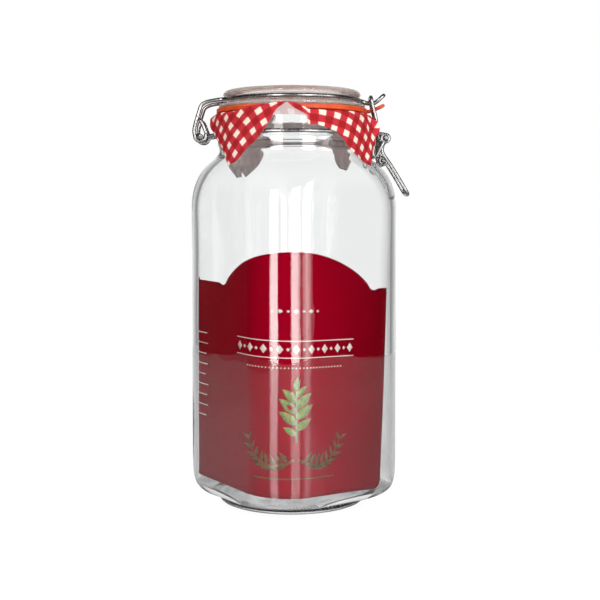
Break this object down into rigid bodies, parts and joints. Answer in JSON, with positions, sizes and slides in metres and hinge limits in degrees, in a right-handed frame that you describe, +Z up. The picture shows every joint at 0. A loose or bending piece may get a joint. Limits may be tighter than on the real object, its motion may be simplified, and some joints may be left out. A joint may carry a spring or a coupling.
{
  "type": "clip top jar",
  "caption": "Square glass storage jar with a hinged glass lid, rubber gasket, wire clip, checked cloth cover and a card label inside.",
  "frame": {"origin": "on the jar's upright axis at the flat underside, within a millimetre of the plane it stands on", "axes": "+Z up along the jar's axis, +X towards the clasp and lever, -X towards the hinge, -Y towards the front"},
  "size_m": [0.1363, 0.1266, 0.2553],
  "materials": {
    "glass": "clear, smooth, polished",
    "gasket_rubber": "soft satin, orange",
    "gingham_cloth": "woven cotton, red and cream checks",
    "card": "smooth printed card, crimson",
    "steel_wire": "bright drawn wire"
  },
  "bodies": {
    "jar": {"jar_body": "glass", "cloth": "gingham_cloth", "label_card": "card", "neck_wire": "steel_wire"},
    "lid": {"lid_glass": "glass", "gasket": "gasket_rubber", "lid_wire": "steel_wire"},
    "lever": {"lever": "steel_wire"},
    "bail": {"bail": "steel_wire"}
  },
  "joints": [
    {"name": "lid_hinge", "type": "hinge", "parent": "jar", "child": "lid", "pos_m": [-0.0561, 0, 0.2271], "axis": [0, -1, 0], "range_deg": [0, 100]},
    {"name": "lever_pivot", "type": "hinge", "parent": "jar", "child": "lever", "pos_m": [0.0574, 0, 0.2256], "axis": [0, -1, 0], "range_deg": [0, 120]},
    {"name": "bail_swing", "type": "hinge", "parent": "lever", "child": "bail", "pos_m": [0.05645, 0, 0.212], "axis": [0, -1, 0], "range_deg": [-90, 0]}
  ],
  "couplings": [
    {"joint": "bail_swing", "follows": "lever_pivot", "ratio": -0.74}
  ]
}
